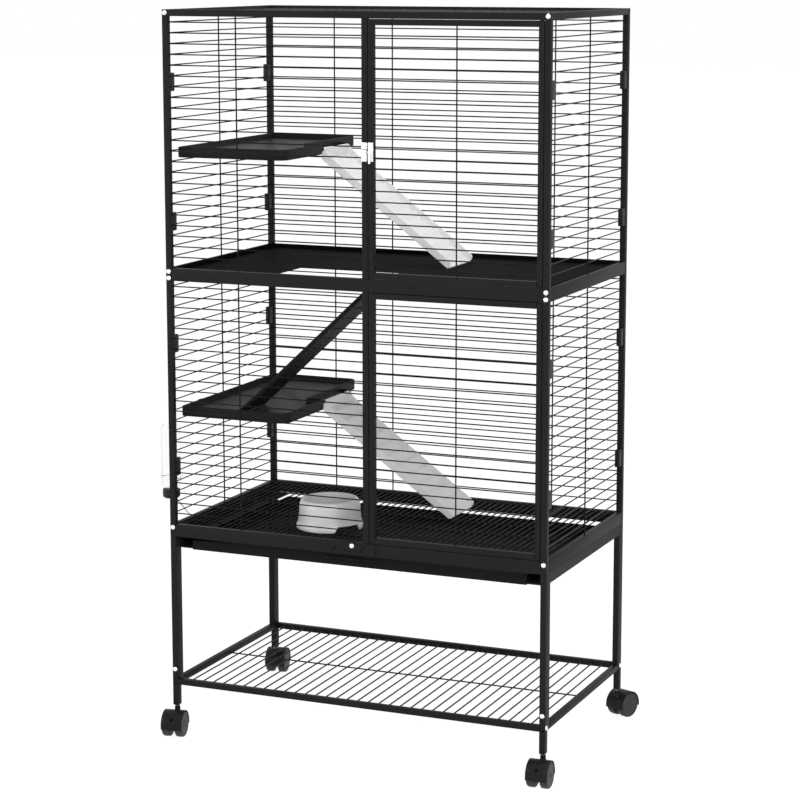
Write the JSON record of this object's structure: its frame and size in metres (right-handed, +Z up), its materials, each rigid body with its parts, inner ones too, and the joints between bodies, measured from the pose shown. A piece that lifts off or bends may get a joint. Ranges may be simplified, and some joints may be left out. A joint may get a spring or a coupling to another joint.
{
  "type": "small animal cage",
  "caption": "Tall wire cage for small animals on a wheeled stand: two tiers with hinged doors, platforms, ramps, a solid floor, a pull-out tray, a bowl and a bottle.",
  "frame": {"origin": "middle of the footprint on the ground, under the middle of the whole object's box", "axes": "+Z up, -Y is the front with the doors, +X is to the right seen from the front"},
  "size_m": [0.8792, 0.5494, 1.4565],
  "materials": {
    "frame_black": "black powder coat, satin",
    "wire_black": "black powder-coated wire",
    "sheet_black": "black powder-coated sheet",
    "mesh_black": "black powder-coated perforated sheet",
    "latch_metal": "bright zinc-plated stamped steel",
    "platform_plastic": "dark moulded plastic, fine grain",
    "ramp_plastic": "pale grey moulded plastic",
    "bowl_plastic": "pale grey moulded plastic",
    "bottle_clear": "clear bottle plastic",
    "cap_plastic": "black plastic",
    "spout_steel": "bright steel",
    "hood_plastic": "black nylon",
    "wheel_plastic": "black nylon",
    "screw_steel": "bright plated steel",
    "clip_plastic": "black plastic"
  },
  "bodies": {
    "root": {"post_front_left": "frame_black", "post_front_right": "frame_black", "post_back_left": "frame_black", "post_back_right": "frame_black", "leg_front_left": "frame_black", "leg_front_right": "frame_black", "leg_back_left": "frame_black", "leg_back_right": "frame_black", "top_frame": "frame_black", "mid_rail_front": "frame_black", "mid_rail_back": "frame_black", "mid_rail_left": "frame_black", "mid_rail_right": "frame_black", "base_frame": "frame_black", "shelf_frame": "frame_black", "shelf_wires": "wire_black", "upper_divider": "frame_black", "lower_divider": "frame_black", "upper_front_panel": "wire_black", "lower_front_panel": "wire_black", "upper_left_panel": "wire_black", "lower_left_panel": "wire_black", "upper_right_panel": "wire_black", "lower_right_panel": "wire_black", "upper_back_panel": "wire_black", "lower_back_panel": "wire_black", "top_panel": "wire_black", "upper_floor": "sheet_black", "wire_floor": "wire_black", "runner_left": "frame_black", "runner_right": "frame_black", "latch_keeper": "latch_metal", "lock_plate": "sheet_black", "upper_platform": "platform_plastic", "lower_platform": "platform_plastic", "screws": "screw_steel", "panel_clips": "clip_plastic"},
    "upper_door": {"upper_door_frame": "frame_black", "upper_door_wires": "wire_black", "latch_plate": "latch_metal"},
    "latch": {"latch_lever": "latch_metal"},
    "lower_door": {"lower_door_frame": "frame_black", "lower_door_wires": "wire_black"},
    "tray": {"tray": "sheet_black"},
    "upper_ramp": {"upper_ramp": "ramp_plastic"},
    "lower_ramp": {"lower_ramp": "ramp_plastic"},
    "mesh_ramp": {"mesh_ramp": "mesh_black"},
    "bowl": {"bowl": "bowl_plastic"},
    "bottle": {"bottle": "bottle_clear", "bottle_cap": "cap_plastic", "drinking_tube": "spout_steel", "bottle_band": "spout_steel"},
    "swivel_front_left": {"hood_front_left": "hood_plastic"},
    "wheels_front_left": {"wheels_front_left": "wheel_plastic"},
    "swivel_front_right": {"hood_front_right": "hood_plastic"},
    "wheels_front_right": {"wheels_front_right": "wheel_plastic"},
    "swivel_back_left": {"hood_back_left": "hood_plastic"},
    "wheels_back_left": {"wheels_back_left": "wheel_plastic"},
    "swivel_back_right": {"hood_back_right": "hood_plastic"},
    "wheels_back_right": {"wheels_back_right": "wheel_plastic"}
  },
  "joints": [
    {"name": "upper_door_hinge", "type": "hinge", "parent": "root", "child": "upper_door", "pos_m": [0.38937, -0.22569, 1.198], "axis": [0, 0, 1], "range_deg": [0, 95]},
    {"name": "lower_door_hinge", "type": "hinge", "parent": "root", "child": "lower_door", "pos_m": [0.38937, -0.22569, 0.682], "axis": [0, 0, 1], "range_deg": [0, 95]},
    {"name": "latch_turn", "type": "hinge", "parent": "upper_door", "child": "latch", "pos_m": [0.04852, -0.23419, 1.194], "axis": [0, 1, 0], "range_deg": [0, 90]},
    {"name": "tray_slide", "type": "slide", "parent": "root", "child": "tray", "axis": [0, -1, 0], "range_m": [0, 0.38]},
    {"name": "upper_ramp_hinge", "type": "hinge", "parent": "root", "child": "upper_ramp", "pos_m": [-0.16768, 0.07831, 1.1755], "axis": [0, -1, 0], "range_deg": [0, 75]},
    {"name": "lower_ramp_hinge", "type": "hinge", "parent": "root", "child": "lower_ramp", "pos_m": [-0.16768, 0.07831, 0.6595], "axis": [0, -1, 0], "range_deg": [0, 75]},
    {"name": "mesh_ramp_hinge", "type": "hinge", "parent": "root", "child": "mesh_ramp", "pos_m": [0.04182, -0.12419, 0.9395], "axis": [0, 1, 0], "range_deg": [0, 35]},
    {"name": "bowl_lift", "type": "slide", "parent": "root", "child": "bowl", "axis": [0, 0, 1], "range_m": [0, 0.08]},
    {"name": "bottle_draw", "type": "slide", "parent": "root", "child": "bottle", "axis": [-0.7071, 0, 0.7071], "range_m": [0, 0.06]},
    {"name": "swivel_front_left", "type": "hinge", "parent": "root", "child": "swivel_front_left", "pos_m": [-0.38568, -0.22419, 0.061], "axis": [0, 0, 1], "continuous": true},
    {"name": "spin_front_left", "type": "hinge", "parent": "swivel_front_left", "child": "wheels_front_left", "pos_m": [-0.38205, -0.24284, 0.026], "axis": [0.9816, 0.1908, 0], "continuous": true},
    {"name": "swivel_front_right", "type": "hinge", "parent": "root", "child": "swivel_front_right", "pos_m": [0.40232, -0.22419, 0.061], "axis": [0, 0, 1], "continuous": true},
    {"name": "spin_front_right", "type": "hinge", "parent": "swivel_front_right", "child": "wheels_front_right", "pos_m": [0.40331, -0.24316, 0.026], "axis": [0.9986, 0.0523, 0], "continuous": true},
    {"name": "swivel_back_left", "type": "hinge", "parent": "root", "child": "swivel_back_left", "pos_m": [-0.38568, 0.22281, 0.061], "axis": [0, 0, 1], "continuous": true},
    {"name": "spin_back_left", "type": "hinge", "parent": "swivel_back_left", "child": "wheels_back_left", "pos_m": [-0.38898, 0.24152, 0.026], "axis": [-0.9848, -0.1736, 0], "continuous": true},
    {"name": "swivel_back_right", "type": "hinge", "parent": "root", "child": "swivel_back_right", "pos_m": [0.40232, 0.22281, 0.061], "axis": [0, 0, 1], "continuous": true},
    {"name": "spin_back_right", "type": "hinge", "parent": "swivel_back_right", "child": "wheels_back_right", "pos_m": [0.40913, 0.24055, 0.026], "axis": [-0.9336, 0.3584, 0], "continuous": true}
  ]
}
